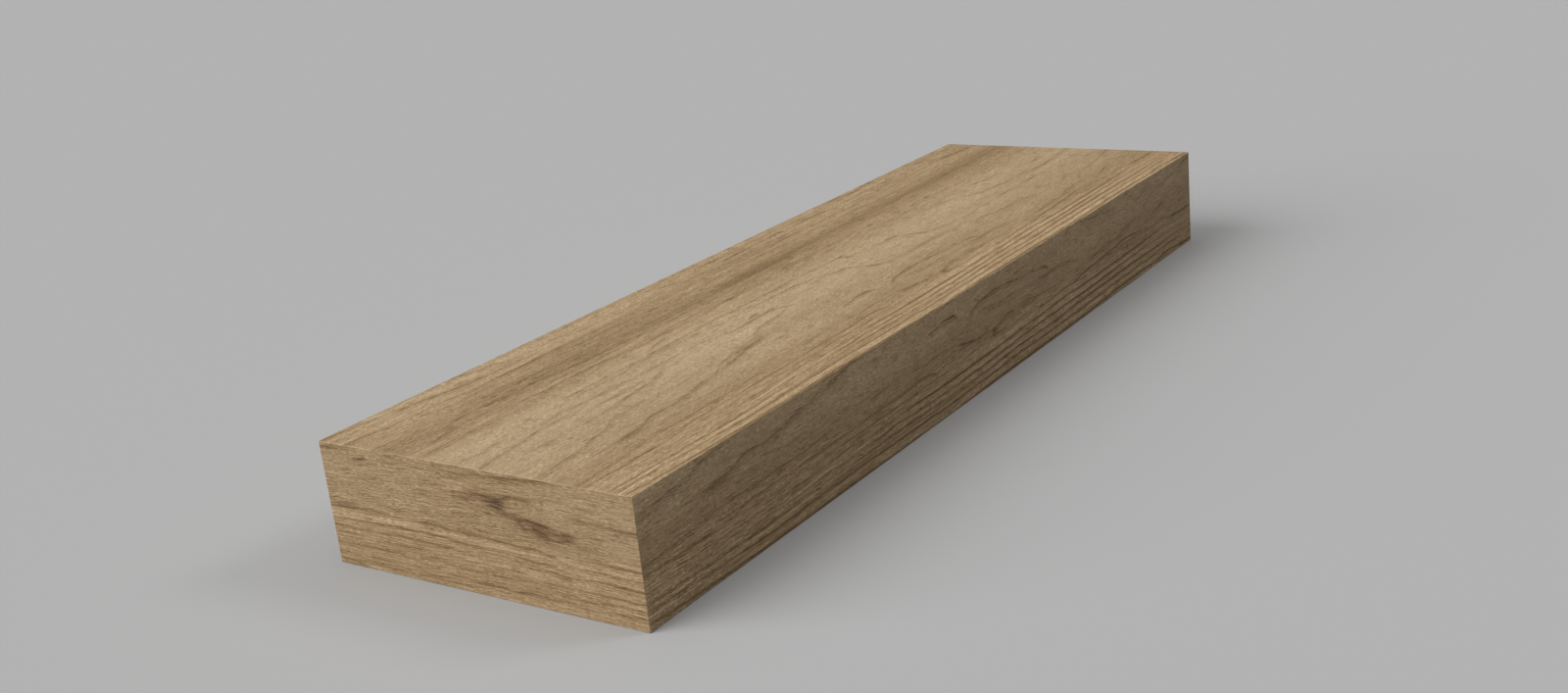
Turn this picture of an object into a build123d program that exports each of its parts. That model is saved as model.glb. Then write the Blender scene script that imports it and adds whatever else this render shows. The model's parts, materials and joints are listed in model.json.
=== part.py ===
from build123d import *
import os

# Cantilever stair tread: one rectangular block of oak that stands out from a wall on hidden steel bars.
# Frame: origin at the middle of the underside, +X across the going, +Y from the free end to the wall, +Z up.

# Block, in millimetres
tread_length = 1000.0
tread_going = 300.0
tread_thickness = 100.0
arris_radius = 0.8  # sanded edge, crisp to the eye but not sharp to the hand

# Blind sockets in the wall end, which slide over the steel bars
bar_diameter = 35.0
bar_clearance = 0.5  # room all round the bar
bar_spacing = 160.0  # between the bars' centre lines
socket_depth = 500.0
socket_lead_in = 1.5  # width and depth of the bevel round each mouth
lead_in_angle = 90.0  # between opposite sides of that bevel

socket_radius = bar_diameter / 2 + bar_clearance
wall_end = Plane(
    origin=(0, tread_length / 2, tread_thickness / 2),
    x_dir=(1, 0, 0),
    z_dir=(0, 1, 0),
)

with BuildPart() as tread:
    # The section across the tread, carried from the wall to the free end
    with BuildSketch(Plane.XZ.offset(-tread_length / 2)) as section:
        Rectangle(tread_going, tread_thickness, align=(Align.CENTER, Align.MIN))
    extrude(amount=tread_length)
    fillet(tread.edges(), radius=arris_radius)

    # One socket for each bar, level with the middle of the thickness
    with Locations(wall_end):
        with GridLocations(bar_spacing, 0, 2, 1):
            CounterSinkHole(
                radius=socket_radius,
                counter_sink_radius=socket_radius + socket_lead_in,
                depth=socket_depth,
                counter_sink_angle=lead_in_angle,
            )

tread.part.label = "tread"

os.makedirs("parts", exist_ok=True)
export_step(tread.part, "parts/tread.step")
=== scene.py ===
import bpy
import functools
import json
import math
import numpy as np
from mathutils import Matrix, Vector


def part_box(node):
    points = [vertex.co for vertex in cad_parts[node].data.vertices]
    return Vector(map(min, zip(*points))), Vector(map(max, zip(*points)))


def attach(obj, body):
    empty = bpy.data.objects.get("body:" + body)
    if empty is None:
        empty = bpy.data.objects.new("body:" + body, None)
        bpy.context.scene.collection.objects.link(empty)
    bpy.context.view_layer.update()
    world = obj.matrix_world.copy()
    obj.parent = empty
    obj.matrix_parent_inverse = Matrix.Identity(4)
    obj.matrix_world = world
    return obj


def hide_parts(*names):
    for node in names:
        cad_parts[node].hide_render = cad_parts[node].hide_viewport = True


# Oak cantilever stair tread lying on a pale studio floor, seen from its free end and one long side.

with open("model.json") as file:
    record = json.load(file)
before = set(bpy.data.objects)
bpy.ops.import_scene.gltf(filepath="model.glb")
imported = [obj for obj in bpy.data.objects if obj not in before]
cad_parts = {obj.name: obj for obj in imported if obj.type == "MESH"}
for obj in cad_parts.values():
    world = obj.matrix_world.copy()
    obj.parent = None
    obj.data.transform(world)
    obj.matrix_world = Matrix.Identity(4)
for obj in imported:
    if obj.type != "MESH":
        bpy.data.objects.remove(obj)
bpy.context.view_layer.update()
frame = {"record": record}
scene = bpy.context.scene
scene.view_settings.view_transform = "Standard"
mm = 0.001


# sRGB hex to linear light: the piecewise curve of the sRGB standard, channel by channel
def linearColour(hexCode):
    channels = [int(hexCode[i:i + 2], 16) / 255 for i in (1, 3, 5)]
    return [c / 12.92 if c <= 0.04045 else ((c + 0.055) / 1.055) ** 2.4 for c in channels] + [1.0]


# Adds one shader node: settings are set, sockets are filled or linked, a curve is laid through given points
# and stays level beyond them, and one output is handed back
def addNode(tree, kind, sockets=(), out=0, curve=None, **settings):
    node = tree.nodes.new("ShaderNode" + kind)
    for name, value in settings.items():
        setattr(node, name, value)
    for place, value in sockets.items() if isinstance(sockets, dict) else enumerate(sockets):
        if isinstance(value, bpy.types.NodeSocket):
            tree.links.new(value, node.inputs[place])
        else:
            node.inputs[place].default_value = value
    if curve:
        points = [(float(x), float(y)) for x, y in curve]
        if points[0][0] > 0.0:
            points.insert(0, (0.0, points[0][1]))
        if points[-1][0] < 1.0:
            points.append((1.0, points[-1][1]))
        line = node.mapping.curves[0].points
        for x, y in points[1:-1]:
            line.new(x, y)
        line[0].location = points[0]
        line[len(points) - 1].location = points[-1]
        node.mapping.extend = "HORIZONTAL"
        node.mapping.update()
    return node.outputs[out] if node.outputs else None


# Four corner numbers for every cell of a grid of points; closed joins the last column to the first
def gridQuads(rows, columns, closed=False):
    number = np.arange(rows * columns).reshape(rows, columns)
    if closed:
        number = np.concatenate([number, number[:, :1]], 1)
    corners = [number[:-1, :-1], number[:-1, 1:], number[1:, 1:], number[1:, :-1]]
    return np.stack(corners, -1).reshape(-1, 4)


# Camera

cameraSpec = {
    "eye": (0.8424, -1.2951, 0.5362),
    "turn": 35.115,  # degrees to the right of the tread's own line
    "tilt": 18.154,  # degrees down
    "roll": -5.951,
    "lens": 39.74,  # mm on a 36 mm wide sensor
    "sensor": 36.0,
}


def makeCamera(spec):
    data = bpy.data.cameras.new("studioCamera")
    data.sensor_fit = "HORIZONTAL"
    data.sensor_width = spec["sensor"]
    data.lens = spec["lens"]
    camera = bpy.data.objects.new("studioCamera", data)
    scene.collection.objects.link(camera)
    turn = Matrix.Rotation(math.radians(spec["turn"]), 3, "Z")
    tilt = Matrix.Rotation(math.radians(90 - spec["tilt"]), 3, "X")
    roll = Matrix.Rotation(math.radians(spec["roll"]), 3, "Z")
    camera.matrix_world = Matrix.LocRotScale(Vector(spec["eye"]), turn @ tilt @ roll, None)
    scene.camera = camera


makeCamera(cameraSpec)
print("camera set")

# Light: a sky that is brightest overhead, a broad key lamp on the left and a weak fill behind on the right.
# Their shares add up to one, the level at which a colour renders as written.

lightSpec = {
    "skyShare": 0.44,
    "skyPower": 3.5,  # how fast the sky dims towards the horizon
    "backdrop": "#b2b2b2",
    "lamps": {  # bearing from +X towards +Y, height above the floor and width, in degrees
        "keyLamp": {"share": 0.45, "bearing": 235.0, "height": 30.0, "spread": 54.0},
        "fillLamp": {"share": 0.11, "bearing": 40.0, "height": 40.0, "spread": 20.0},
    },
}


def makeLight(spec):
    for name, lampSpec in spec["lamps"].items():
        height = math.radians(lampSpec["height"])
        bearing = math.radians(lampSpec["bearing"])
        data = bpy.data.lights.new(name, "SUN")
        data.angle = math.radians(lampSpec["spread"])
        data.energy = lampSpec["share"] * math.pi / math.sin(height)
        lamp = bpy.data.objects.new(name, data)
        scene.collection.objects.link(lamp)
        level = math.cos(height)
        towards = Vector((level * math.cos(bearing), level * math.sin(bearing), math.sin(height)))
        lamp.rotation_euler = towards.to_track_quat("Z", "Y").to_euler()

    world = bpy.data.worlds.new("studioSky")
    scene.world = world
    world.use_nodes = True
    world.node_tree.nodes.clear()
    node = functools.partial(addNode, world.node_tree)
    seen = node("LightPath", out="Is Camera Ray")
    upward = node("SeparateXYZ", [node("TexCoord", out="Generated")], out="Z")
    upward = node("Math", [upward, 0.0], operation="MAXIMUM")
    upward = node("Math", [upward, spec["skyPower"]], operation="POWER")
    zenith = spec["skyShare"] * (spec["skyPower"] + 2) / 2  # so that the level floor gets the sky's share
    strength = node("Math", [upward, zenith], operation="MULTIPLY")
    lighting = node("Background", {"Strength": strength, "Color": (1, 1, 1, 1)})
    backdrop = node("Background", {"Strength": 1.0, "Color": linearColour(spec["backdrop"])})
    node("OutputWorld", [node("MixShader", [seen, lighting, backdrop])])


makeLight(lightSpec)
print("light set")

# Floor: one level sheet whose grey is also the background. It gives little light back to the tread.

floorSpec = {
    "reach": 20.0,  # metres from the middle to each edge
    "points": 3,  # along each side
    "seen": "#b2b2b2",
    "bounce": "#9a9a9a",
}


# Flat grid: x and y run evenly from one edge to the other, z stays at the underside of the tread
def makeFloor(spec):
    side = np.linspace(-spec["reach"], spec["reach"], spec["points"])
    x, y = np.meshgrid(side, side)
    points = np.stack([x.ravel(), y.ravel(), np.zeros(x.size)], 1)
    mesh = bpy.data.meshes.new("studioFloor")
    mesh.from_pydata(points.tolist(), [], gridQuads(*x.shape).tolist())
    floor = bpy.data.objects.new("studioFloor", mesh)
    scene.collection.objects.link(floor)

    # Matt painted board: no gloss, one even grey
    material = bpy.data.materials.new("mattPaintedFloor")
    material.use_nodes = True
    material.node_tree.nodes.clear()
    node = functools.partial(addNode, material.node_tree)
    seen = 0.0
    for ray in ("Is Camera Ray", "Is Glossy Ray", "Is Transmission Ray"):
        seen = node("Math", [node("LightPath", out=ray), seen], use_clamp=True)
    grey = node("MixRGB", [seen, linearColour(spec["bounce"]), linearColour(spec["seen"])])
    node("OutputMaterial", [node("BsdfDiffuse", {"Color": grey})])
    mesh.materials.append(material)


makeFloor(floorSpec)
print("floor laid")

# Tread: a block with eased edges and two bored sockets in its wall end

treadSpec = {
    "arris": 0.8 * mm,  # rounding of every edge
    "arrisSteps": 4,
    "acrossSteps": 48,  # even, so that one row of points runs between the sockets
    "heightSteps": 16,
    "alongSteps": 80,
    "leadIn": 1.5 * mm,  # bevel round each socket's mouth
    "boreSteps": 40,
    "faceRings": 7,  # rows of faces from a socket's mouth to the edge of the wall end
    "faceCrowding": 1.4,  # above one, these rows crowd towards the mouth
    "bottomRings": 3,  # rows of faces on a socket's flat bottom
    "weld": 0.001 * mm,  # points nearer than this become one
    "leftStrip": 220 * mm,  # which strip of the figure the left side shows, from its lower edge
    "endSheet": 400 * mm,  # where the two ends' figure starts, across the grain
    "wallShift": 350 * mm,  # and along it, for the wall end
    "boreShift": 700 * mm,  # and for the sockets
}


# Section of the block: a rectangle set in by the edge radius. Each point keeps its place on that rectangle
# and the direction in which the rounded outline stands off it, a quarter turn being spent at each corner.
def sectionLoop(halfWide, halfHigh, spec):
    corners = np.array([[-1, 1], [1, 1], [1, -1], [-1, -1]]) * [halfWide, halfHigh]
    steps = [spec["acrossSteps"], spec["heightSteps"]] * 2
    base = []
    angle = []
    for side in range(4):
        run = np.linspace(0, 1, steps[side] + 1)[:, None]
        faceAngle = math.pi / 2 * (1 - side)
        base.append(corners[side] + run * (corners[(side + 1) % 4] - corners[side]))
        angle.append(np.full(steps[side] + 1, faceAngle))
        bend = np.linspace(0, -math.pi / 2, spec["arrisSteps"] + 1)[1:-1]
        base.append(np.repeat(corners[[(side + 1) % 4]], len(bend), 0))
        angle.append(faceAngle + bend)
    angle = np.concatenate(angle)
    return np.concatenate(base), np.stack([np.cos(angle), np.sin(angle)], 1)


# The section carried from the near end to the wall end. At both ends the stand-off follows a quarter circle
# down to nothing, so the outline draws in to the inner rectangle and the corners become parts of a sphere.
def blockSkin(lo, hi, spec):
    radius = spec["arris"]
    middle = (lo + hi) / 2
    half = (hi - lo) / 2 - radius
    base, lean = sectionLoop(half[0], half[2], spec)
    bend = np.linspace(math.pi / 2, 0, spec["arrisSteps"] + 1)
    along = np.linspace(-half[1], half[1], spec["alongSteps"] + 1)
    dip = np.concatenate([-bend, np.zeros(spec["alongSteps"] - 1), bend[::-1]])
    station = np.concatenate([np.full(len(bend), along[0]), along[1:-1], np.full(len(bend), along[-1])])
    y = (middle[1] + station + radius * np.sin(dip))[:, None]
    off = np.cos(dip)[:, None]
    x = middle[0] + base[:, 0] + radius * off * lean[:, 0]
    z = middle[2] + base[:, 1] + radius * off * lean[:, 1]
    points = np.stack([x, np.broadcast_to(y, x.shape), z], -1)
    endward = np.broadcast_to(np.sin(dip)[:, None], x.shape)
    normals = np.stack([off * lean[:, 0], endward, off * lean[:, 1]], -1)
    return points, normals


# Plain end: an even grid over the inner rectangle
def plainEnd(lo, hi, spec):
    radius = spec["arris"]
    x = np.linspace(lo[0] + radius, hi[0] - radius, spec["acrossSteps"] + 1)
    z = np.linspace(lo[2] + radius, hi[2] - radius, spec["heightSteps"] + 1)
    gridX, gridZ = np.meshgrid(x, z)
    return np.stack([gridX, np.full_like(gridX, lo[1]), gridZ], -1)


# Half of the wall end: straight lines from a circle, the socket's mouth, out to the half's rectangle
def boredHalf(left, right, lo, hi, centre, mouth, spec):
    bottom = lo[2] + spec["arris"]
    top = hi[2] - spec["arris"]
    corners = np.array([[right, bottom], [right, top], [left, top], [left, bottom]])
    steps = [spec["heightSteps"], spec["acrossSteps"] // 2] * 2
    outer = []
    for side in range(4):
        run = np.linspace(0, 1, steps[side], endpoint=False)[:, None]
        outer.append(corners[side] + run * (corners[(side + 1) % 4] - corners[side]))
    outer = np.concatenate(outer)
    start = math.atan2(outer[0, 1] - centre[1], outer[0, 0] - centre[0])
    angle = start + np.linspace(0, 2 * math.pi, len(outer), endpoint=False)
    circle = centre + mouth * np.stack([np.cos(angle), np.sin(angle)], 1)
    share = (np.linspace(0, 1, spec["faceRings"] + 1) ** spec["faceCrowding"])[:, None, None]
    flat = circle + share * (outer - circle)
    return np.stack([flat[..., 0], np.full(flat.shape[:2], hi[1]), flat[..., 1]], -1), angle


# Socket: a profile of radius against depth (bevel, bore, flat bottom) carried round its axis
def socketWall(centre, angle, radius, depth, hi, spec):
    bevel = spec["leadIn"]
    bore = np.linspace(bevel, depth, spec["boreSteps"])
    bottom = np.linspace(radius, 0, spec["bottomRings"] + 1)[1:]
    r = np.concatenate([[radius + bevel], np.full(len(bore), radius), bottom])
    down = np.concatenate([[0.0], bore, np.full(len(bottom), depth)])
    x = centre[0] + r[:, None] * np.cos(angle)
    z = centre[1] + r[:, None] * np.sin(angle)
    points = np.stack([x, np.broadcast_to(hi[1] - down[:, None], x.shape), z], -1)
    slope = np.stack([-np.diff(down), -np.diff(r)], 1)
    slope /= np.linalg.norm(slope, axis=1, keepdims=True)
    return points, slope, down, r


# Where each face takes its figure from, on one drawn sheet: u runs along the grain and v across it. The right
# side repeats the top's right strip, and the ends have a strip of their own turned crosswise.
def sheetPlace(points, facing, lo, hi, spec):
    x, y, z = points[..., 0], points[..., 1], points[..., 2]
    axis = np.abs(facing).argmax(1)[:, None]
    plus = np.take_along_axis(facing, axis, 1) > 0
    isRight, isLeft = (axis == 0) & plus, (axis == 0) & ~plus
    isWall, isNear = (axis == 1) & plus, (axis == 1) & ~plus
    isTop = (axis == 2) & plus
    wide = hi[0] - lo[0]
    u = np.select(
        [isRight | isTop, isNear, isWall],
        [y - lo[1], x - lo[0], spec["wallShift"] + x - lo[0]],
        hi[1] - y,
    )
    v = np.select(
        [isTop, isRight, isLeft, isNear | isWall],
        [x - lo[0], wide - (z - lo[2]), spec["leftStrip"] - (z - lo[2]), spec["endSheet"] + hi[2] - z],
        x - lo[0],
    )
    return np.stack([u, v], -1)


# Puts all surfaces into one closed mesh: points that coincide become one, and corners that fall together are
# dropped, so that a cell with a collapsed edge is a triangle
def closedMesh(name, points, quads, sheet, normals, weld):
    key = np.round(points / weld).astype(np.int64)
    _, first, merged = np.unique(key, axis=0, return_index=True, return_inverse=True)
    corners = merged.reshape(-1)[quads]
    kept = corners != np.roll(corners, -1, axis=1)
    counts = kept.sum(1)
    whole = counts >= 3
    kept &= whole[:, None]
    starts = np.concatenate([[0], np.cumsum(counts[whole])[:-1]])
    loops = corners[kept]
    mesh = bpy.data.meshes.new(name)
    mesh.vertices.add(len(first))
    mesh.vertices.foreach_set("co", points[first].astype(np.float32).ravel())
    mesh.loops.add(len(loops))
    mesh.loops.foreach_set("vertex_index", loops.astype(np.int32))
    mesh.polygons.add(int(whole.sum()))
    mesh.polygons.foreach_set("loop_start", starts.astype(np.int32))
    mesh.update(calc_edges=True)
    mesh.validate()
    mesh.polygons.foreach_set("use_smooth", np.ones(len(mesh.polygons), bool))
    mesh.uv_layers.new(name="sheet")
    mesh.uv_layers["sheet"].data.foreach_set("uv", sheet[kept].astype(np.float32).ravel())
    mesh.normals_split_custom_set(normals[kept].tolist())
    return mesh


def makeTread(spec):
    lo, hi = (np.array(c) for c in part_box("tread"))
    sockets = [m for m in frame["record"]["mounts"] if m["kind"] == "bore"]
    sockets.sort(key=lambda m: m["pos_m"][0])
    pointSets, quadSets, sheetSets, normalSets = [], [], [], []

    def addSurface(points, quads, normals, sheet=None):
        flat = points.reshape(-1, 3)
        facing = normals.mean(1)
        quadSets.append(quads + sum(len(p) for p in pointSets))
        pointSets.append(flat)
        normalSets.append(normals)
        sheetSets.append(sheetPlace(flat[quads], facing, lo, hi, spec) if sheet is None else sheet)

    skin, skinNormals = blockSkin(lo, hi, spec)
    quads = gridQuads(*skin.shape[:2], closed=True)
    addSurface(skin, quads, skinNormals.reshape(-1, 3)[quads])

    near = plainEnd(lo, hi, spec)
    quads = gridQuads(*near.shape[:2])
    addSurface(near, quads, np.broadcast_to([0.0, -1.0, 0.0], (len(quads), 4, 3)))

    middle = (lo[0] + hi[0]) / 2
    bounds = [(lo[0] + spec["arris"], middle), (middle, hi[0] - spec["arris"])]
    for (left, right), socket in zip(bounds, sockets):
        centre = np.array([socket["pos_m"][0], socket["pos_m"][2]])
        radius = socket["dims"]["r_mm"] * mm
        depth = socket["dims"]["length_mm"] * mm + spec["leadIn"]
        half, angle = boredHalf(left, right, lo, hi, centre, radius + spec["leadIn"], spec)
        quads = gridQuads(*half.shape[:2], closed=True)
        addSurface(half, quads, np.broadcast_to([0.0, 1.0, 0.0], (len(quads), 4, 3)))

        wall, slope, down, ring = socketWall(centre, angle, radius, depth, hi, spec)
        rows, columns = wall.shape[:2]
        quads = gridQuads(rows, columns, closed=True)[:, ::-1]
        column = quads % columns
        lean = np.repeat(slope, columns, 0)[:, None, :]
        around = angle[column]
        normals = np.stack([
            lean[..., 0] * np.cos(around),
            np.broadcast_to(lean[..., 1], around.shape),
            lean[..., 0] * np.sin(around),
        ], -1)
        closing = column.max(1, keepdims=True) == columns - 1  # the last cell of a turn ends at the full turn
        turned = np.where((column == 0) & closing, columns, column)
        u = spec["boreShift"] + down[quads // columns] + radius - ring[quads // columns]
        v = spec["endSheet"] + turned * (2 * math.pi * radius / columns)
        addSurface(wall, quads, normals, np.stack([u, v], -1))

    mesh = closedMesh(
        "treadBlock",
        np.concatenate(pointSets),
        np.concatenate(quadSets),
        np.concatenate(sheetSets),
        np.concatenate(normalSets),
        spec["weld"],
    )
    tread = bpy.data.objects.new("treadBlock", mesh)
    scene.collection.objects.link(tread)
    return tread


tread = makeTread(treadSpec)
print("tread built:", len(tread.data.polygons), "faces")

# Figure of the oak, drawn on the sheet. Places and sizes are millimetres along and across the grain,
# counted from the free end and the left edge of the top. The right side repeats the strip from 200 to 300
# across, and the strip of the two ends starts at 400.

oakSpec = {
    "mean": "#a99170",
    "reddening": (1.0, 1.15, 1.40),  # how fast red, green and blue fall as the wood darkens
    "gold": (0.0, 0.4, 1.0),  # how much of the golden cast each of them loses
    "ruddy": (0.0, 1.0, -0.5),  # and of the ruddy cast of the knot
    "sheetLength": 1000.0,
    "sheetWidth": 500.0,
    "bendDetail": 1.0,  # octaves that the noises add to their first one
    "streakDetail": 2.0,
    "ringDetail": 2.0,
    "ior": 1.5,
    "gloss": 0.2,
    "roughest": 0.70,  # in the dark pores
    "smoothest": 0.56,  # on the dense pale wood
    "toneSpan": (-0.5, 0.3),  # from the dark pores' tone to the pale wood's
    "poreDepth": 0.04 * mm,
}

# Broad light and dark of the wood, painted shade along the tread, and the golden cast: place on the sheet,
# and the change as a natural logarithm
toneAcross = [
    (0, 0.06), (20, 0.05), (45, 0.0), (56, -0.07), (70, -0.20), (82, -0.13), (95, -0.05), (107, 0.0),
    (116, 0.08), (140, 0.145), (180, 0.115), (205, 0.045), (228, -0.02), (250, -0.11), (262, -0.02),
    (272, 0.05), (285, 0.02), (300, 0.05), (400, -0.02), (412, 0.03), (425, 0.0), (440, -0.03), (448, -0.07),
    (457, 0.06), (465, 0.0), (478, 0.0), (490, -0.06), (500, -0.03),
]
# painted shade: the tone falls from the free end to the wall end, standing in for light that falls off along
# the tread
paintedShadeAlong = [(0, 0.04), (300, 0.01), (600, -0.01), (1000, -0.04)]
goldAcross = [
    (0, 0.04), (60, 0.05), (105, 0.04), (118, 0.02), (238, 0.03), (256, 0.06), (300, 0.07), (400, 0.05),
    (448, 0.06), (458, 0.10), (500, 0.10),
]

# Bends of the grain: length and width of one bend, its swing, and the share of it at places across the sheet
bends = {
    "slow": {"length": 230, "width": 60, "swing": 14.0, "share": [(0, 1.0), (500, 1.0)]},
    "short": {"length": 45, "width": 18, "swing": 2.0, "share": [(0, 1.0), (500, 1.0)]},
    "ripple": {
        "length": 22, "width": 12, "swing": 4.0,
        "share": [(390, 0.15), (400, 1.0), (444, 1.0), (456, 0.2)],
    },
}

# Streaks along the grain: length and width of one streak, the part of the noise that is used, the tone at the
# two ends of that part, and its share at places across the sheet. Real fibres, flecks and pores are 0.2 mm
# wide or less, and they are drawn coarser so that they show.
streaks = {
    "clouds": {
        "length": 190, "width": 26, "cut": (0.0, 1.0), "tone": (0.14, -0.14),
        "share": [(0, 1.0), (500, 1.0)],
    },
    "bands": {
        "length": 420, "width": 7, "cut": (0.0, 1.0), "tone": (0.22, -0.22),
        "share": [
            (0, 1), (105, 0.8), (125, 0.3), (240, 0.4), (256, 0.4), (300, 0.4), (400, 0.4), (455, 0.6),
        ],
    },
    "grain": {
        "length": 120, "width": 1.5, "cut": (0.0, 1.0), "tone": (0.30, -0.30),
        "share": [
            (0, 0.9), (105, 0.8), (125, 0.35), (240, 0.4), (256, 0.45), (300, 0.45), (400, 0.2), (455, 0.5),
        ],
    },
    "threads": {
        "length": 330, "width": 1.4, "cut": (0.0, 1.0), "tone": (0.46, -0.46),
        "share": [
            (0, 0), (240, 0), (256, 0.9), (300, 0.9), (320, 0), (445, 0), (458, 0.4), (500, 0.4),
        ],
    },
    "fibres": {
        "length": 30, "width": 0.7, "cut": (0.40, 0.74), "tone": (0.24, -0.62),
        "share": [
            (0, 0.5), (105, 0.5), (125, 0.35), (240, 0.4), (256, 0.6), (300, 0.6), (400, 0.42), (455, 0.55),
        ],
    },
    "flecks": {
        "length": 4, "width": 0.6, "cut": (0.0, 1.0), "tone": (0.95, -0.95),
        "share": [(0, 0.8), (240, 0.75), (256, 0.85), (300, 0.85), (400, 0.7), (500, 0.65)],
    },
    "pores": {
        "length": 16, "width": 0.6, "cut": (0.55, 0.72), "tone": (0.04, -0.65),
        "share": [
            (0, 1), (105, 1), (125, 0.8), (240, 0.8), (256, 1), (300, 1), (400, 0.7), (500, 0.7),
        ],
    },
}

# How the rings shake a little, and how they break into blobs
shake = {"length": 16, "width": 9, "swing": 5.0}
beads = {"length": 10, "width": 1.5, "cut": (0.32, 0.68)}

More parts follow.
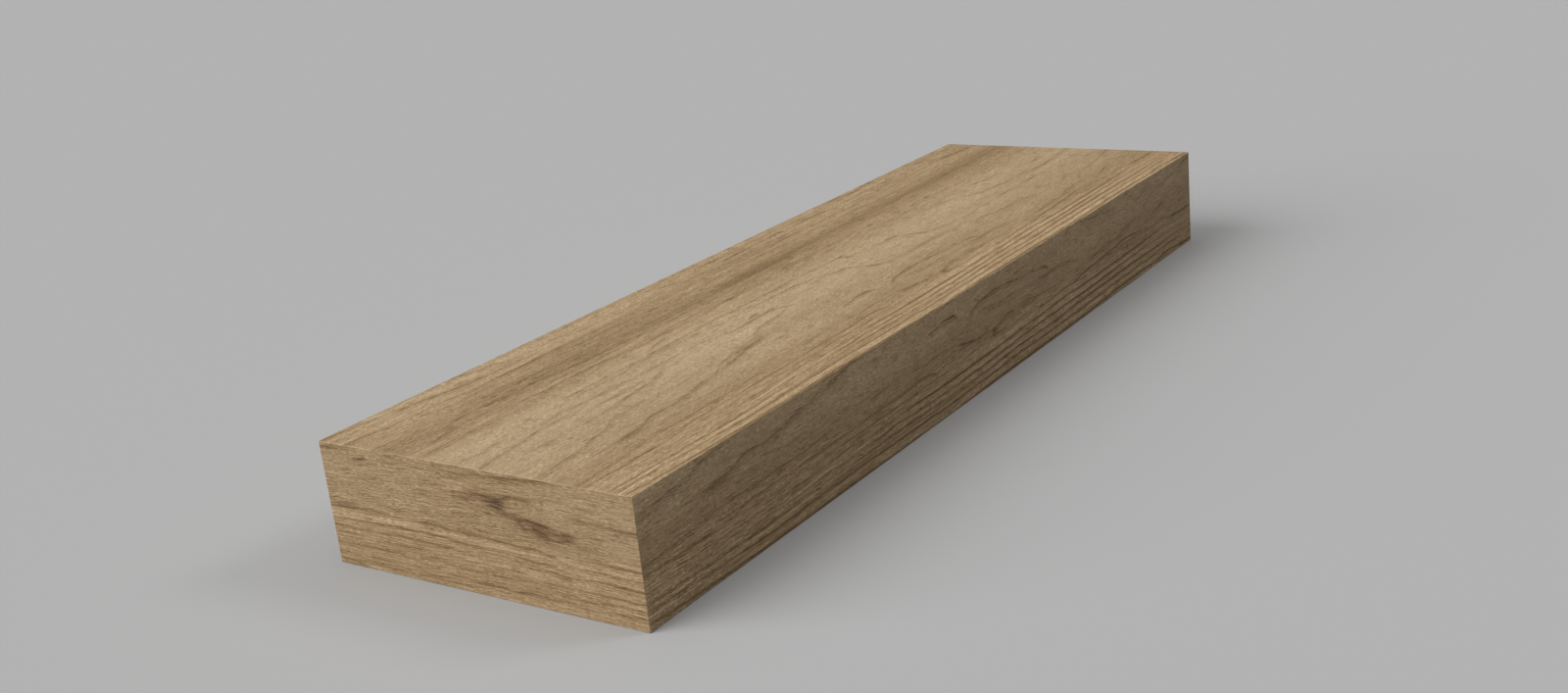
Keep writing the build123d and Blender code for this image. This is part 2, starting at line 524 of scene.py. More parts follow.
# Growth rings that the eye can follow, fading in and out: width of the line, then place along, place across
# and darkness in percent
curvedRings = {
    "leftTop": [
        1.6, (0, 3, 61), (20, 3.5, 70), (32, 5, 61), (52, 8, 43), (62, 10, 9), (72, 13, 61), (90, 15.5, 87),
        (105, 18, 87), (120, 21, 87), (140, 24, 70), (158, 25.5, 52), (185, 27, 35), (215, 29, 26),
        (260, 28, 0),
    ],
    "leftLong": [
        1.6, (0, 29, 78), (15, 29, 78), (30, 31, 87), (45, 33, 61), (85, 34, 43), (110, 36, 61),
        (128, 38.5, 43), (150, 38, 61), (180, 38.5, 87), (210, 38, 78), (240, 39, 43), (285, 41, 35),
        (320, 42, 26), (370, 45, 0),
    ],
    "leftBranch": [
        1.9, (136, 0, 43), (152, 4, 78), (162, 8, 43), (175, 10, 52), (182, 11, 78), (190, 15, 52),
        (200, 18, 0),
    ],
    "leftHair": [1.4, (60, 46.5, 0), (90, 47, 52), (130, 48, 35), (165, 50, 0)],
    "leftLow": [
        1.4, (215, 50, 0), (240, 49.5, 35), (262, 50, 52), (330, 51, 43), (400, 54, 30), (450, 51, 30),
        (480, 49, 40), (540, 49.5, 50), (570, 50, 40), (620, 48, 30), (680, 49, 30), (760, 49, 0),
    ],
    "leftKnee": [
        1.7, (390, 12, 0), (400, 15, 60), (406, 18, 90), (420, 19.5, 80), (440, 20, 30), (455, 17, 40),
        (475, 13, 50), (490, 13, 70), (510, 14, 30), (560, 13.5, 30), (600, 10, 10), (650, 9, 0),
    ],
    "leftMid": [
        1.8, (485, 25, 0), (497, 24, 90), (520, 22.5, 100), (540, 21.5, 80), (560, 21, 50), (580, 20, 70),
        (600, 20, 100), (612, 21, 40), (640, 20, 80), (665, 20, 90), (690, 21, 40), (730, 21, 20),
        (755, 19, 50), (800, 18.5, 40), (835, 17, 80), (848, 16, 0),
    ],
    "leftDash": [
        1.5, (405, 29, 0), (430, 28, 60), (455, 28, 60), (475, 30, 20), (490, 32, 40), (520, 32, 30),
        (600, 31, 40), (640, 31, 20), (680, 30, 0), (735, 28, 0), (745, 28, 40), (770, 28, 10),
        (795, 27.5, 80), (820, 27, 60), (832, 27, 0),
    ],
    "leftThread": [
        1.5, (395, 41.5, 0), (412, 41.5, 50), (440, 42, 30), (470, 41, 50), (540, 41, 30), (560, 40, 60),
        (580, 39.5, 60), (600, 38, 30), (640, 38, 40), (680, 38, 30), (720, 39, 40), (750, 40, 50),
        (768, 40, 0),
    ],
    "leftFar": [
        1.9, (850, 14, 0), (880, 20, 10), (910, 28, 30), (930, 29, 70), (945, 29.5, 100), (958, 32, 80),
        (975, 33, 90), (985, 34, 40), (1000, 36, 30),
    ],
    "leftRim": [
        1.8, (690, 4, 0), (730, 4, 80), (755, 7, 80), (775, 7.5, 70), (790, 4, 60), (815, 2.5, 60),
        (850, 6, 10), (880, 13, 30), (905, 12, 50), (914, 14, 70), (926, 15, 0),
    ],
    "bandHeart": [
        8, (60, 55, 0), (100, 58, 22), (150, 62, 39), (200, 68, 35), (260, 72, 22), (300, 74, 26),
        (360, 77, 30), (400, 76, 25), (440, 73, 40), (480, 72.5, 45), (520, 73, 40), (560, 73, 40),
        (600, 72.5, 20), (650, 72, 25), (700, 71, 15), (760, 71, 20), (800, 70.5, 30), (860, 70, 30),
        (900, 73, 25), (950, 72.5, 10), (1000, 73, 10),
    ],
    "bandUnder": [
        1.6, (85, 73, 0), (100, 74.5, 70), (112, 76, 87), (130, 77, 70), (160, 78, 52), (190, 80, 52),
        (210, 84, 70), (235, 84.5, 61), (260, 86.5, 61), (280, 86, 35), (322, 87.5, 52), (370, 87.5, 50),
        (420, 89, 20), (490, 88, 30), (560, 88, 0),
    ],
    "bandInner": [1.6, (400, 80, 0), (450, 80, 50), (490, 80, 50), (515, 79, 60), (535, 79, 0)],
    "bandHair": [
        1.4, (125, 88, 0), (160, 89, 35), (185, 91, 52), (210, 91, 35), (240, 92, 43), (255, 92, 0),
    ],
    "bandNear": [
        1.7, (18, 92, 0), (32, 91, 70), (45, 87, 61), (60, 84, 35), (75, 84, 26), (90, 87, 52), (100, 87, 0),
    ],
    "bandFoot": [1.5, (0, 104, 35), (35, 103.5, 52), (60, 104, 52), (80, 104, 26), (105, 105, 0)],
    "bandLow": [
        1.7, (80, 94, 0), (110, 96, 43), (130, 97, 61), (140, 99.5, 78), (165, 99.5, 61), (200, 99.5, 78),
        (215, 100, 61), (240, 104, 35), (270, 106.5, 52), (290, 105, 78), (310, 106, 52), (330, 107, 35),
        (375, 104.5, 50), (395, 103, 80), (410, 101.5, 80), (430, 102, 30), (500, 99, 30), (610, 99, 35),
        (700, 101, 20), (755, 100.5, 30), (762, 100, 90), (770, 99, 0),
    ],
    "paleDash": [
        1.6, (180, 119.5, 0), (190, 119, 37), (200, 119, 8), (240, 119, 8), (258, 118, 51), (270, 116.5, 74),
        (282, 115.5, 44), (300, 116, 23), (340, 115, 20), (365, 115, 0),
    ],
    "longThin": [
        1.4, (125, 127, 0), (140, 127.5, 67), (165, 127.5, 67), (190, 128, 51), (240, 128, 51),
        (270, 127.5, 67), (300, 127.5, 44), (340, 126, 80), (360, 127.5, 60), (400, 127.5, 70),
        (430, 129, 80), (450, 128, 60), (500, 130, 50), (525, 130.5, 70), (535, 132, 90), (542, 132, 0),
    ],
    "stepNear": [
        1.7, (60, 133, 0), (85, 133, 37), (110, 133, 23), (180, 134, 37), (210, 134, 30), (232, 132, 44),
        (262, 132.5, 44), (300, 134, 23), (350, 136, 20), (390, 139, 40), (440, 141, 60), (455, 143.5, 50),
        (470, 147, 50), (485, 152, 60), (495, 157, 90), (505, 158, 70), (510, 165, 80), (516, 176, 90),
        (522, 181, 100), (527, 185, 100), (540, 186.5, 70), (580, 188.5, 50), (595, 188, 80),
        (632, 187.5, 60), (650, 191, 23), (680, 198, 47), (692, 198, 55), (708, 200, 70), (714, 204, 78),
        (722, 204, 55), (745, 206, 70), (758, 205.5, 55), (768, 208, 55), (795, 208.5, 39), (812, 207, 0),
    ],
    "stepMid": [
        1.8, (530, 131, 0), (535, 137, 100), (540, 140, 60), (560, 143, 30), (585, 146, 50), (612, 148, 90),
        (620, 154, 60), (628, 160, 100), (632, 167, 100), (640, 173, 50), (652, 174.5, 70), (663, 177, 55),
        (672, 179, 31), (688, 181.5, 47), (712, 181, 55), (730, 179, 23), (748, 178, 47), (765, 178, 16),
        (780, 177, 47), (795, 176.5, 70), (810, 177, 39), (858, 176, 47), (868, 175, 55), (880, 176, 16),
        (935, 174, 16), (972, 178.5, 55), (988, 178, 0),
    ],
    "stepFar": [
        1.8, (695, 128, 0), (715, 129, 39), (730, 129, 23), (745, 131, 62), (757, 132, 39), (764, 138, 39),
        (780, 145, 47), (790, 150, 78), (800, 151, 55), (820, 154, 62), (838, 157, 55), (855, 157, 31),
        (875, 158, 47), (890, 160.5, 70), (922, 161.5, 70), (940, 160, 55), (965, 158, 39), (980, 156, 55),
        (1000, 155, 39),
    ],
    "veeUpper": [
        1.5, (0, 141, 51), (15, 141, 44), (26, 143, 74), (33, 141, 44), (53, 141, 37), (62, 144, 15),
        (80, 146, 23), (112, 145.5, 51), (140, 148, 37), (175, 150, 51), (195, 152, 44), (215, 152, 67),
        (247, 152, 37), (275, 153, 30), (288, 155, 59), (300, 157, 44), (318, 161, 67), (352, 161, 90),
        (375, 161, 90), (385, 166, 60), (389, 170, 80), (394, 171, 0),
    ],
    "nearThin": [
        1.5, (0, 163, 74), (15, 161, 67), (50, 157.5, 59), (70, 154.5, 74), (80, 153, 30), (98, 154, 44),
        (108, 156, 8), (125, 162, 15), (140, 163, 37), (158, 163.5, 74), (166, 163, 37), (183, 164, 44),
        (194, 164, 0),
    ],
    "tipSpot": [1.9, (340, 156, 0), (350, 155, 90), (358, 153.5, 100), (366, 152.5, 0)],
    "nearDash": [1.7, (22, 174, 0), (40, 176, 30), (55, 178.5, 67), (65, 178, 30), (72, 176, 0)],
    "veeInner": [
        1.8, (92, 179, 0), (104, 178, 59), (112, 178, 23), (122, 177.5, 44), (140, 176, 44), (155, 174, 74),
        (175, 172, 74), (192, 170, 51), (200, 167.5, 59), (212, 164.5, 30), (222, 164, 0),
    ],
    "upperBranch": [
        1.7, (0, 215, 23), (12, 214.5, 51), (40, 211.5, 44), (62, 209, 37), (70, 206, 74), (82, 204, 74),
        (95, 202, 74), (102, 198, 51), (115, 193.5, 44), (135, 192.5, 51), (153, 191, 51), (158, 190, 0),
    ],
    "mainBranch": [
        2.2, (26, 229.5, 0), (50, 227.5, 23), (73, 226.5, 59), (85, 227, 74), (100, 225.5, 74),
        (115, 222, 74), (128, 218, 74), (145, 219.5, 74), (162, 219, 67), (180, 216.5, 67), (195, 213, 59),
        (215, 211, 44), (228, 208, 43), (240, 201, 43), (255, 199, 45), (267, 195, 45), (278, 195, 28),
        (290, 192, 28), (303, 191, 30), (310, 187, 35), (318, 183, 43), (330, 178, 65), (345, 176.5, 70),
        (360, 175.5, 60), (378, 172.5, 40), (392, 170, 0),
    ],
    "branchFork": [
        1.8, (226, 211, 0), (236, 208, 39), (248, 205, 30), (258, 203.5, 42), (268, 203, 33), (280, 199, 42),
        (300, 198, 45), (310, 199, 26), (320, 199, 0),
    ],
    "branchDashA": [1.5, (238, 207, 0), (246, 206, 43), (256, 206.5, 35), (262, 205, 0)],
    "branchDashB": [1.5, (254, 204, 0), (262, 202.5, 48), (272, 202.5, 35), (280, 201, 0)],
    "branchDashC": [1.5, (276, 203.5, 0), (284, 202, 39), (294, 201.5, 43), (302, 200, 0)],
    "branchDashD": [1.5, (262, 199, 0), (270, 198, 43), (282, 197, 35), (290, 196, 0)],
    "branchDashE": [1.3, (286, 197, 0), (294, 196, 35), (306, 195.5, 35), (316, 194, 0)],
    "lowFaint": [
        1.5, (0, 232, 51), (10, 232, 59), (16, 231, 0), (130, 229, 0), (155, 228.5, 37), (172, 231, 30),
        (182, 232, 0),
    ],
    "lowLong": [
        1.5, (0, 252, 52), (25, 250.5, 52), (50, 249, 44), (75, 247, 44), (95, 245, 23), (125, 246, 74),
        (150, 246, 44), (172, 246, 74), (190, 246.5, 44), (215, 245, 44), (240, 243, 23), (280, 241.5, 15),
        (300, 241, 37), (328, 238.5, 59), (338, 239, 9), (385, 241, 50), (420, 240.5, 40), (440, 242, 40),
        (455, 244.5, 80), (468, 247, 90), (485, 249, 60), (505, 250, 50), (518, 251, 60), (532, 247, 80),
        (545, 245, 90), (565, 246, 40), (590, 244.5, 80), (612, 247, 50), (650, 248.5, 30), (725, 249, 0),
    ],
    "hook": [
        1.6, (388, 221, 0), (400, 219, 40), (413, 217.5, 60), (420, 215.5, 50), (428, 214.5, 90),
        (440, 214.5, 100), (446, 215.5, 100), (450, 218, 90), (454, 221, 30), (460, 222, 0),
    ],
    "arc": [
        1.6, (470, 226, 0), (474, 224, 70), (482, 220.5, 80), (492, 218, 90), (508, 216, 100),
        (522, 215, 90), (540, 216.5, 50), (555, 217, 80), (575, 219, 60), (610, 221, 40), (627, 223.5, 100),
        (636, 227, 30), (652, 230, 0),
    ],
    "arcUnder": [
        1.6, (480, 227, 0), (495, 226, 50), (515, 228, 60), (535, 229, 40), (555, 229.5, 60), (575, 230, 30),
        (610, 231, 30), (630, 232, 90), (650, 231, 70), (680, 234, 40), (700, 238, 30), (722, 239, 0),
    ],
    "farLow": [
        1.8, (725, 246, 0), (737, 244.5, 62), (757, 243.5, 62), (775, 241.5, 47), (795, 241, 62),
        (812, 237.5, 78), (832, 236, 62), (850, 233, 31), (872, 231, 0),
    ],
    "farRise": [
        1.8, (860, 245, 0), (890, 242, 31), (912, 237, 62), (925, 233, 47), (935, 231, 16), (948, 230, 0),
    ],
    "farHook": [
        2, (824, 207, 0), (833, 207.5, 40), (842, 213, 20), (851, 216, 50), (860, 214, 50), (867, 210, 45),
        (876, 206.5, 45), (884, 205, 30), (896, 205, 0),
    ],
    "farEnd": [
        1.7, (862, 228, 0), (868, 227, 47), (890, 218, 39), (915, 215.5, 39), (940, 213, 23), (960, 210, 23),
        (975, 206.5, 55), (990, 204.5, 78), (1000, 204, 78),
    ],
    "farThin": [
        1.6, (805, 124, 0), (828, 125.5, 70), (838, 128.5, 70), (855, 130, 55), (870, 130, 47),
        (885, 129, 8), (905, 138, 8), (925, 142, 23), (938, 142.5, 70), (955, 141, 31), (962, 141, 0),
    ],
    "endTop": [
        1.6, (112, 405, 0), (130, 406.5, 26), (145, 406.3, 43), (156, 405, 43), (166, 403.8, 61),
        (177, 403.6, 78), (191, 402.9, 87), (203, 402.2, 87), (213, 401.4, 87), (224, 400.4, 70),
        (235, 399.8, 52), (250, 399, 0),
    ],
    "endSpot": [1.8, (26, 411, 0), (34, 409.5, 70), (42, 408.5, 87), (48, 407, 70), (54, 406, 0)],
    "endCorner": [1.8, (0, 403, 52), (12, 402, 61), (30, 401, 35), (48, 400, 0)],
    "knotUpper": [
        1.8, (142, 421, 0), (152, 420.7, 35), (166, 419, 43), (177, 417.3, 52), (188, 416.8, 61),
        (198, 417.1, 61), (209, 416, 43), (216, 416.6, 35), (227, 416.5, 17), (242, 417, 0),
    ],
    "knotHook": [
        1.8, (166, 423, 0), (171, 422, 52), (175, 420.9, 78), (181, 419.6, 70), (188, 417.2, 43),
        (193, 416.5, 0),
    ],
    "knotLower": [
        2.2, (171, 427, 0), (176, 428.5, 87), (181, 429.8, 87), (188, 430.3, 87), (193, 430.5, 78),
        (197, 431.8, 61), (203, 432.9, 87), (211, 433.7, 87), (220, 435.2, 87), (228, 435.6, 52),
        (236, 437.6, 78), (241, 437.8, 70), (252, 438.5, 0),
    ],
    "knotSecond": [
        1.8, (184, 435.5, 0), (194, 436.6, 35), (199, 439.5, 78), (204, 439.4, 78), (209, 438.7, 87),
        (214, 439.8, 70), (218, 440.8, 35), (230, 441, 0),
    ],
    "knotFoot": [
        1.6, (202, 443.5, 0), (209, 443.5, 61), (215, 443.4, 70), (222, 444.2, 78), (229, 444.1, 70),
        (237, 442, 61), (243, 441.6, 52), (248, 443, 35), (260, 443.5, 0),
    ],
    "knotDashA": [1.6, (198, 432.5, 0), (203, 433, 30), (213, 434.3, 40), (221, 434.8, 30), (226, 435, 0)],
    "knotDashB": [1.5, (203, 438, 0), (207, 437.6, 35), (212, 437.8, 40), (217, 438.5, 0)],
    "knotDashC": [
        1.4, (206, 441.5, 0), (210, 440.8, 35), (216, 440.5, 35), (222, 440, 60), (228, 439.5, 60),
        (234, 440, 0),
    ],
    "knotDashD": [1.5, (229, 438.5, 0), (234, 438, 50), (240, 438, 65), (244, 438.5, 0)],
    "knotDashE": [1.3, (188, 436, 0), (192, 435.2, 60), (196, 434.6, 50), (200, 435, 0)],
    "endRight": [
        1.4, (230, 426, 0), (240, 424, 17), (250, 425.5, 35), (268, 425.5, 52), (285, 427, 70),
        (300, 427, 78), (360, 429, 52), (450, 424, 26), (540, 421, 52), (660, 424, 26),
    ],
}

# Straight rings of the edge strip and of the ends' lower half
straightRings = {
    "edgeFirst": [
        1.4, (0, 292.5, 49), (20, 294.5, 63), (40, 295.5, 70), (80, 297, 63), (130, 298, 63),
        (300, 298.5, 77), (360, 298.8, 70), (420, 298.5, 30), (480, 298.3, 60), (540, 297.7, 100),
        (690, 297.5, 90), (740, 297, 90), (780, 295.5, 100), (870, 294.8, 90), (900, 294.5, 60),
        (930, 293, 80), (960, 295, 90), (1000, 297, 80),
    ],
    "edgeSecond": [
        1.3, (0, 285.5, 42), (30, 285.8, 63), (60, 287, 35), (90, 288, 49), (130, 290, 70), (165, 290.2, 63),
        (200, 289.2, 60), (290, 288.8, 60), (340, 290, 77), (400, 290.2, 80), (430, 291, 85), (470, 290, 75),
        (520, 289.5, 70), (560, 288.8, 80), (610, 289.3, 75), (720, 288.5, 75), (800, 287.5, 70),
        (850, 287, 55), (880, 287.5, 50), (925, 285.5, 50), (960, 286, 30), (1000, 288, 40),
    ],
    "edgeThread": [
        1, (210, 286, 0), (250, 286, 35), (300, 286, 21), (345, 285.5, 42), (420, 286.5, 40),
        (460, 285.8, 35), (490, 286, 0),
    ],
    "edgeThird": [
        1.3, (0, 279, 21), (40, 280.5, 42), (70, 281, 28), (110, 282, 42), (150, 282.8, 56), (200, 282, 35),
        (250, 282.2, 35), (300, 282, 51), (350, 281.8, 68), (400, 283, 50), (490, 283.8, 55), (520, 283, 80),
        (560, 281.8, 90), (650, 282.5, 85), (690, 281, 85), (740, 280.5, 90), (800, 280, 90),
        (850, 279.5, 70), (890, 280.5, 80), (930, 279.5, 50), (1000, 282, 30),
    ],
    "edgeFourth": [
        1.2, (30, 275.5, 0), (55, 275, 42), (110, 275.8, 35), (150, 276, 56), (180, 276.3, 35),
        (260, 275.5, 24), (300, 276.5, 42), (340, 275.2, 68), (380, 276.5, 65), (465, 277.5, 80),
        (500, 276.5, 75), (540, 275.5, 80), (580, 274.7, 85), (660, 274, 90), (740, 273.8, 90),
        (770, 273, 85), (800, 272.5, 70), (850, 271.5, 60), (910, 271.5, 40), (1000, 275, 20),
    ],
    "edgeHair": [
        1, (0, 271.5, 28), (30, 272, 28), (100, 272, 21), (170, 272, 21), (210, 272, 17), (240, 272, 0),
    ],
    "edgeFifth": [
        1.3, (35, 267, 0), (50, 267.5, 42), (80, 268, 35), (120, 268.5, 35), (150, 269, 21), (185, 269, 49),
        (230, 268.5, 49), (260, 267.5, 42), (280, 269, 49), (320, 269.5, 45), (360, 269, 70), (400, 270, 90),
        (480, 269.5, 90), (520, 269, 85), (560, 267.5, 85), (640, 266.5, 90), (670, 265.5, 90),
        (690, 266, 80), (730, 266.3, 85), (830, 265.2, 90), (870, 264.8, 80), (905, 264, 50), (940, 266, 20),
        (1000, 266, 20),
    ],
    "edgeLoose": [1, (228, 265, 0), (255, 264.5, 35), (290, 264.5, 28), (325, 265, 0)],
    "edgeSixth": [
        1.2, (110, 260, 0), (230, 260.3, 21), (280, 260.5, 32), (350, 261.5, 42), (400, 260.5, 40),
        (450, 261, 30), (480, 258, 40), (520, 256, 60), (550, 258, 35), (600, 258.5, 40), (625, 259, 80),
        (670, 257.5, 80), (695, 257.5, 80), (710, 255, 80), (750, 252.5, 60), (790, 250, 70),
        (820, 248.5, 80), (850, 250, 50), (900, 253, 0),
    ],
    "edgeNear": [1.4, (0, 258, 21), (25, 259, 42), (50, 259, 70), (85, 259, 49), (100, 259, 0)],
    "edgeSeventh": [
        1.2, (55, 256, 0), (110, 255, 42), (150, 255, 49), (180, 255, 35), (225, 254.5, 63), (260, 255, 42),
        (290, 254, 49), (360, 253, 50), (400, 253, 70), (412, 256, 30), (430, 256, 0),
    ],
    "edgeFar": [1.4, (905, 258, 0), (940, 258.5, 60), (960, 258.5, 80), (1000, 259, 60)],
    "endUpper": [
        1.3, (0, 452, 35), (20, 451, 52), (40, 450.5, 52), (55, 451, 35), (85, 452, 29), (100, 451.5, 58),
        (115, 452, 41), (150, 452.5, 52), (170, 453.2, 52), (190, 454.5, 58), (207, 454.5, 52),
        (222, 456.8, 52), (230, 455.5, 17), (250, 455, 41), (300, 455, 52), (380, 452, 35), (470, 455, 46),
        (560, 452, 35), (650, 454, 46),
    ],
    "endLower": [
        1.4, (0, 461.5, 46), (35, 460.3, 52), (80, 459.2, 58), (115, 459.5, 58), (130, 461, 46),
        (145, 461.8, 46), (175, 462, 29), (190, 463.5, 41), (205, 464.2, 58), (220, 464, 46), (232, 463, 0),
    ],
    "endLowerRight": [
        1.2, (215, 461.5, 0), (250, 462, 29), (268, 462, 46), (300, 463.3, 29), (390, 461, 46),
        (480, 464, 35), (570, 461, 46), (650, 463, 29),
    ],
    "endThread": [
        1.2, (0, 467.5, 29), (25, 468, 41), (45, 467.5, 35), (80, 466.5, 41), (105, 467, 41), (150, 469, 27),
        (195, 470, 29), (215, 469.5, 52), (235, 470.5, 29), (250, 469.3, 52), (300, 470, 58), (400, 468, 29),
        (500, 471, 46), (580, 468, 29), (650, 470, 41),
    ],
    "endFifth": [
        1.1, (0, 474, 12), (10, 473.5, 35), (30, 473, 23), (65, 474, 41), (90, 474, 52), (110, 474.5, 23),
        (140, 474.8, 17), (160, 475, 35), (185, 475, 52), (200, 475, 0),
    ],
    "endSixth": [
        1.2, (10, 479, 12), (20, 478.5, 17), (90, 478.5, 23), (110, 478, 41), (130, 478, 23),
        (230, 478.5, 29), (260, 478.5, 52), (300, 478.8, 46), (400, 476, 41), (490, 479, 23), (590, 477, 46),
        (650, 478, 29),
    ],
    "endSeventh": [
        1.2, (0, 481.5, 46), (25, 481.5, 46), (55, 481, 52), (80, 481, 12), (125, 481.5, 17), (150, 482, 41),
        (180, 482, 35), (205, 482.5, 0),
    ],
    "endEighth": [
        1.2, (190, 486, 0), (230, 486, 35), (255, 486, 41), (265, 484.7, 46), (300, 485, 52), (380, 487, 29),
        (470, 484, 46), (560, 487, 35), (650, 485, 46),
    ],
    "endNinth": [
        1.3, (0, 489, 17), (40, 489.5, 17), (130, 489, 23), (145, 490.5, 46), (170, 490.5, 58),
        (178, 491.5, 29), (190, 490.5, 58), (208, 490.5, 41), (225, 492, 17), (300, 490, 29), (420, 492, 46),
        (520, 490, 29), (650, 492, 41),
    ],
    "endLast": [
        1.4, (0, 495, 52), (15, 495.5, 58), (30, 494, 46), (60, 495, 52), (90, 494.5, 35), (135, 495, 35),
        (155, 495, 0),
    ],
}

# Pale wood beside the rings
paleStreaks = {
    "endPale": [
        1.6, (0, 456.5, 80), (40, 455.5, 90), (100, 455, 100), (150, 456.5, 90), (190, 458.5, 90),
        (225, 460, 70), (300, 459.5, 50), (400, 457, 80), (520, 459, 60), (650, 458, 80),
    ],
    "edgePale": [
        2, (0, 289.5, 70), (40, 291, 80), (130, 293.5, 90), (300, 293.5, 100), (420, 294.5, 60),
        (560, 292.5, 90), (700, 293, 80), (800, 291, 80), (920, 289.5, 60), (1000, 291, 60),
    ],
    "edgeHigh": [
        2, (440, 263, 0), (540, 263.5, 80), (620, 262.5, 60), (740, 262.5, 90), (860, 261, 60),
        (960, 262, 0),
    ],
    "edgeGapUpper": [
        1.6, (330, 273, 0), (420, 273.3, 80), (560, 271.5, 100), (660, 270, 100), (760, 269.5, 100),
        (860, 268.5, 80), (960, 268.5, 0),
    ],
    "edgeGapMid": [
        1.6, (330, 279.5, 0), (430, 280.3, 70), (520, 280, 90), (600, 278, 100), (700, 277.3, 100),
        (800, 276, 100), (900, 276, 60), (980, 277, 0),
    ],
    "edgeGapLower": [
        1.5, (380, 286.8, 0), (480, 287, 50), (560, 285.5, 80), (660, 285.5, 80), (760, 284.3, 80),
        (880, 284, 50), (960, 283, 0),
    ],
}

# How each group is drawn: its tone, how ragged and broken up it is, how far its middle is sharpened and how
# far the pores feather it, and the shade across one ring in widths of the line
ringGroups = {
    "curved": {
        "lines": curvedRings, "tone": -0.62, "ragged": 0.15,
        "broken": (1.3, 0.6), "core": 1.2, "feather": 0.9,
        "profile": [(-3, 0), (-1.2, 0.10), (-0.5, 0.45), (0, 1), (0.6, 0.7), (1.5, 0.42), (2.5, 0.2), (4, 0)],
    },
    "straight": {
        "lines": straightRings, "tone": -0.94, "ragged": 0.2,
        "broken": (1.15, 0.8), "core": 1.2, "feather": 0.25,
        "profile": [(-4, 0), (-1.3, 0.06), (-0.6, 0.5), (0, 1), (0.6, 0.7), (1.4, 0.2), (3, 0)],
    },
    "pale": {
        "lines": paleStreaks, "tone": 0.13, "ragged": 0.2,
        "broken": (0.8, 1.2), "core": 1.0, "feather": 0.0,
        "profile": [(-4, 0), (-1.6, 0.2), (-0.8, 0.8), (0, 1), (0.8, 0.8), (1.6, 0.2), (3, 0), (5, 0)],
    },
}

# Spots: centre, half length and half width, turn in degrees, tone, golden and ruddy cast. Their edges shake
# with the rings, their core is at full strength, and the fibres fray them.
fray = {"ragged": 0.5, "core": 0.15, "cut": (0.0, 0.7), "share": (0.45, 1.5)}
spots = {
    "pinKnot": ((518, 253), (6, 5), 0, -0.45, 0.0, 0.0),
    "branchStain": ((278, 197), (42, 8), -10, -0.06, 0.0, 0.0),
    "branchFoot": ((92, 227), (26, 7), -6, -0.26, 0.0, 0.0),
    "hookStain": ((436, 216), (16, 5), 0, -0.14, 0.0, 0.0),
    "knotHeart": ((172, 424.0), (16, 6.5), 4, -0.60, -0.16, 0.02),
    "knotCore": ((178, 424.8), (7, 6), 0, -0.46, -0.14, 0.0),
    "knotTail": ((157, 423.0), (25, 8), 0, -0.34, 0.0, 0.04),
    "knotStain": ((204, 436.5), (36, 8.5), 8, -0.15, 0.0, 0.06),
    "knotToe": ((229, 440), (17, 5.5), 6, -0.30, 0.02, 0.04),
    "knotLobe": ((202, 424.5), (26, 5), 4, 0.06, 0.0, 0.0),
    "knotSpeck": ((165, 433.6), (5, 2.5), 0, -0.30, 0.0, 0.0),
    "rightStain": ((246, 425.5), (13, 5), -4, -0.06, 0.0, 0.0),
    "endShade": ((90, 430), (190, 80), 0, -0.07, 0.03, 0.0),
    "heartShade": ((150, 420), (85, 46), 0, -0.13, 0.02, 0.0),
    "endDusk": ((20, 449.5), (44, 4), 0, -0.14, 0.0, 0.0),
    "topDusk": ((175, 407), (36, 5), -4, -0.12, 0.0, 0.0),
}


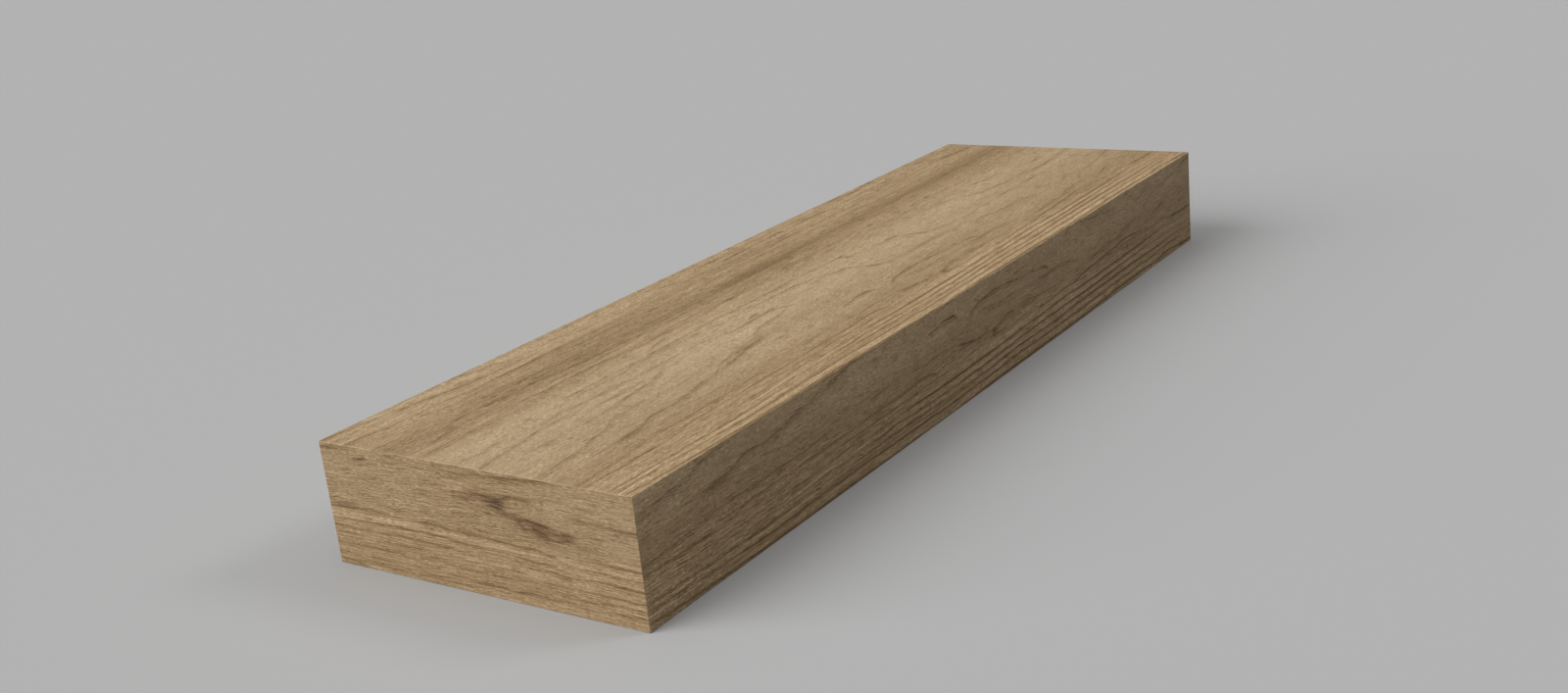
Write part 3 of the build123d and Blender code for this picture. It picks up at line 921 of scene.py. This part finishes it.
def makeOak(spec):
    # Flat-sawn oak, planed, sanded and oiled: a matt warm brown with long fibres, dark early-wood rings,
    # short open pores and very little gloss
    material = bpy.data.materials.new("flatSawnOiledOak")
    material.use_nodes = True
    material.node_tree.nodes.clear()
    node = functools.partial(addNode, material.node_tree)
    length, width = spec["sheetLength"], spec["sheetWidth"]

    metres = node("UVMap", uv_map="sheet")
    place = node("VectorMath", [metres, (1 / mm, 1 / mm, 0)], operation="MULTIPLY")
    along = node("SeparateXYZ", [place], out="X")
    across = node("SeparateXYZ", [place], out="Y")
    alongShare = node("Math", [along, 1 / length], operation="MULTIPLY")
    acrossShare = node("Math", [across, 1 / width], operation="MULTIPLY")

    # noise drawn out to the given length and width
    def stretchedNoise(at, size, detail):
        scale = (1 / size["length"], 1 / size["width"], 1)
        at = node("VectorMath", [at, scale], operation="MULTIPLY")
        return node("TexNoise", {"Vector": at, "Scale": 1.0, "Detail": detail}, noise_dimensions="2D")

    # the share that a table gives to a place across the sheet
    def shareAcross(points):
        return node("FloatCurve", {"Value": acrossShare}, curve=[(v / width, s) for v, s in points])

    # bends, so that no streak is quite straight
    bent = across
    for bend in bends.values():
        swing = bend["swing"] / 2
        noise = stretchedNoise(place, bend, spec["bendDetail"])
        swing = node("MapRange", [noise, 0.0, 1.0, -swing, swing])
        bent = node("Math", [swing, shareAcross(bend["share"]), bent], operation="MULTIPLY_ADD")
    bentPlace = node("CombineXYZ", [along, bent, 0.0])
    bentShare = node("Math", [bent, 1 / width], operation="MULTIPLY")

    # broad tone, painted shade along the tread and golden cast; a curve holds 0 to 1, so each tone is raised
    # by half and set back
    tone = node("FloatCurve", {"Value": bentShare}, curve=[(v / width, 0.5 + t) for v, t in toneAcross])
    paintedShade = node("FloatCurve", {"Value": alongShare}, curve=[(u / length, 0.5 + t) for u, t in paintedShadeAlong])
    tone = node("Math", [node("Math", [tone, paintedShade], operation="ADD"), 1.0], operation="SUBTRACT")
    gold = shareAcross(goldAcross)

    # streaks
    levels = {}
    for name, streak in streaks.items():
        noise = stretchedNoise(bentPlace, streak, spec["streakDetail"])
        levels[name] = node("MapRange", [noise, *streak["cut"], 0.0, 1.0])
        depth = node("MapRange", [levels[name], 0.0, 1.0, *streak["tone"]])
        tone = node("Math", [depth, shareAcross(streak["share"]), tone], operation="MULTIPLY_ADD")

    # rings, a little ragged and broken up
    swing = shake["swing"] / 2
    jitter = stretchedNoise(place, shake, spec["ringDetail"])
    jitter = node("MapRange", [jitter, 0.0, 1.0, -swing, swing])
    blobs = stretchedNoise(place, beads, spec["ringDetail"])
    for group in ringGroups.values():
        shaken = node("Math", [jitter, group["ragged"], across], operation="MULTIPLY_ADD")
        runShare = node("Math", [jitter, group["ragged"] / length, alongShare], operation="MULTIPLY_ADD")
        first, last = group["profile"][0][0], group["profile"][-1][0]
        profile = [((x - first) / (last - first), y) for x, y in group["profile"]]
        lines = 0.0
        for wide, *route in group["lines"].values():
            u, v, dark = np.transpose(route)
            wider = wide * np.hypot(1, np.gradient(v, u))  # keeps a steep run as broad as a level one
            path = node("FloatCurve", {"Value": runShare}, curve=zip(u / length, v / width))
            strength = node("FloatCurve", {"Value": runShare}, curve=zip(u / length, dark / 100))
            reach = node("FloatCurve", {"Value": runShare}, curve=zip(u / length, wider / width))
            gap = node("Math", [path, -width, shaken], operation="MULTIPLY_ADD")
            gap = node("Math", [gap, reach], operation="DIVIDE")
            gap = node("MapRange", [gap, first * width, last * width, 0.0, 1.0])
            shade = node("FloatCurve", {"Value": gap}, curve=profile)
            lines = node("Math", [strength, shade, lines], operation="MULTIPLY_ADD")
        broken = node("MapRange", [blobs, *beads["cut"], *group["broken"]])
        core = node("Math", [lines, group["core"]], operation="POWER")
        core = node("Math", [core, broken], operation="MULTIPLY")
        feather = node("Math", [lines, levels["pores"]], operation="MULTIPLY")
        lines = node("Math", [feather, group["feather"], core], operation="MULTIPLY_ADD")
        tone = node("Math", [lines, group["tone"], tone], operation="MULTIPLY_ADD")

    # spots and the knot
    shaken = node("Math", [jitter, fray["ragged"], across], operation="MULTIPLY_ADD")
    ragged = node("CombineXYZ", [along, shaken, 0.0])
    frayed = node("MapRange", [levels["fibres"], *fray["cut"], *fray["share"]])
    ruddy = 0.0
    for centre, half, turn, depth, golden, red in spots.values():
        turned = [ragged, (*centre, 0), (0, 0, math.radians(turn)), (*half, 1)]
        local = node("Mapping", turned, vector_type="TEXTURE")
        reach = node("VectorMath", [local], operation="LENGTH", out="Value")
        mask = node("MapRange", [reach, fray["core"], 1.0, 1.0, 0.0], interpolation_type="SMOOTHSTEP")
        mask = node("Math", [mask, frayed], operation="MULTIPLY")
        tone = node("Math", [mask, depth, tone], operation="MULTIPLY_ADD")
        gold = node("Math", [mask, golden, gold], operation="MULTIPLY_ADD")
        ruddy = node("Math", [mask, red, ruddy], operation="MULTIPLY_ADD")

    # tone to colour: each channel of the mean colour times e to its share of the tone and the two casts
    channels = []
    shares = zip(linearColour(spec["mean"]), spec["reddening"], spec["gold"], spec["ruddy"])
    for channel, rate, golden, red in shares:
        power = node("Math", [gold, -golden], operation="MULTIPLY")
        power = node("Math", [ruddy, -red, power], operation="MULTIPLY_ADD")
        power = node("Math", [tone, rate, power], operation="MULTIPLY_ADD")
        power = node("Math", [power], operation="EXPONENT")
        channels.append(node("Math", [power, channel], operation="MULTIPLY"))
    colour = node("CombineColor", channels)

    rough = node("MapRange", [tone, *spec["toneSpan"], spec["roughest"], spec["smoothest"]])
    relief = {"Height": levels["pores"], "Strength": 1.0, "Distance": spec["poreDepth"]}
    pitted = node("Bump", relief, invert=True)
    surface = {"Base Color": colour, "Roughness": rough, "Normal": pitted}
    surface |= {"IOR": spec["ior"], "Specular IOR Level": spec["gloss"]}
    node("OutputMaterial", [node("BsdfPrincipled", surface)])
    return material


tread.data.materials.append(makeOak(oakSpec))
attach(tread, "root")
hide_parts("tread")
print("oak finished")
